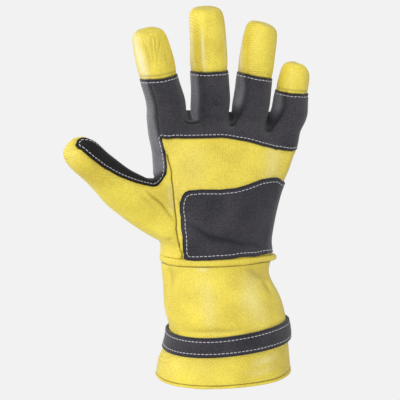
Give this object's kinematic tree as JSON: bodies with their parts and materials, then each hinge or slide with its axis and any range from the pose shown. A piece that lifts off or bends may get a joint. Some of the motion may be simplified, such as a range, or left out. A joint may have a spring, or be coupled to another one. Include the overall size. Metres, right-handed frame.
{
  "type": "firefighter glove",
  "caption": "Structural firefighter's leather glove, left hand, bright yellow with dark grey finger panels, heel patch and cuff strap, filled out as if worn.",
  "frame": {"origin": "centre of the cuff's mouth, in the plane of its edge", "axes": "+Z from the cuff towards the fingertips, -Y out of the palm, -X towards the thumb"},
  "size_m": [0.1968, 0.085, 0.2841],
  "materials": {
    "yellow_leather": "satin grain",
    "grey_leather": "matte suede",
    "black_leather": "matte suede"
  },
  "bodies": {
    "root": {"palm_panel": "yellow_leather", "back_panel": "yellow_leather", "thumb_shell": "yellow_leather", "index_tip_cap": "yellow_leather", "middle_tip_cap": "yellow_leather", "ring_tip_cap": "yellow_leather", "little_tip_cap": "yellow_leather", "wrist_welt": "yellow_leather", "cuff": "yellow_leather", "cuff_hem": "yellow_leather", "finger_front_panel": "grey_leather", "finger_back_panel": "grey_leather", "index_side_panel": "grey_leather", "little_side_panel": "grey_leather", "index_middle_gusset": "grey_leather", "middle_ring_gusset": "grey_leather", "ring_little_gusset": "grey_leather", "heel_patch": "grey_leather", "cuff_strap": "grey_leather", "thumb_strip": "black_leather"}
  },
  "joints": []
}
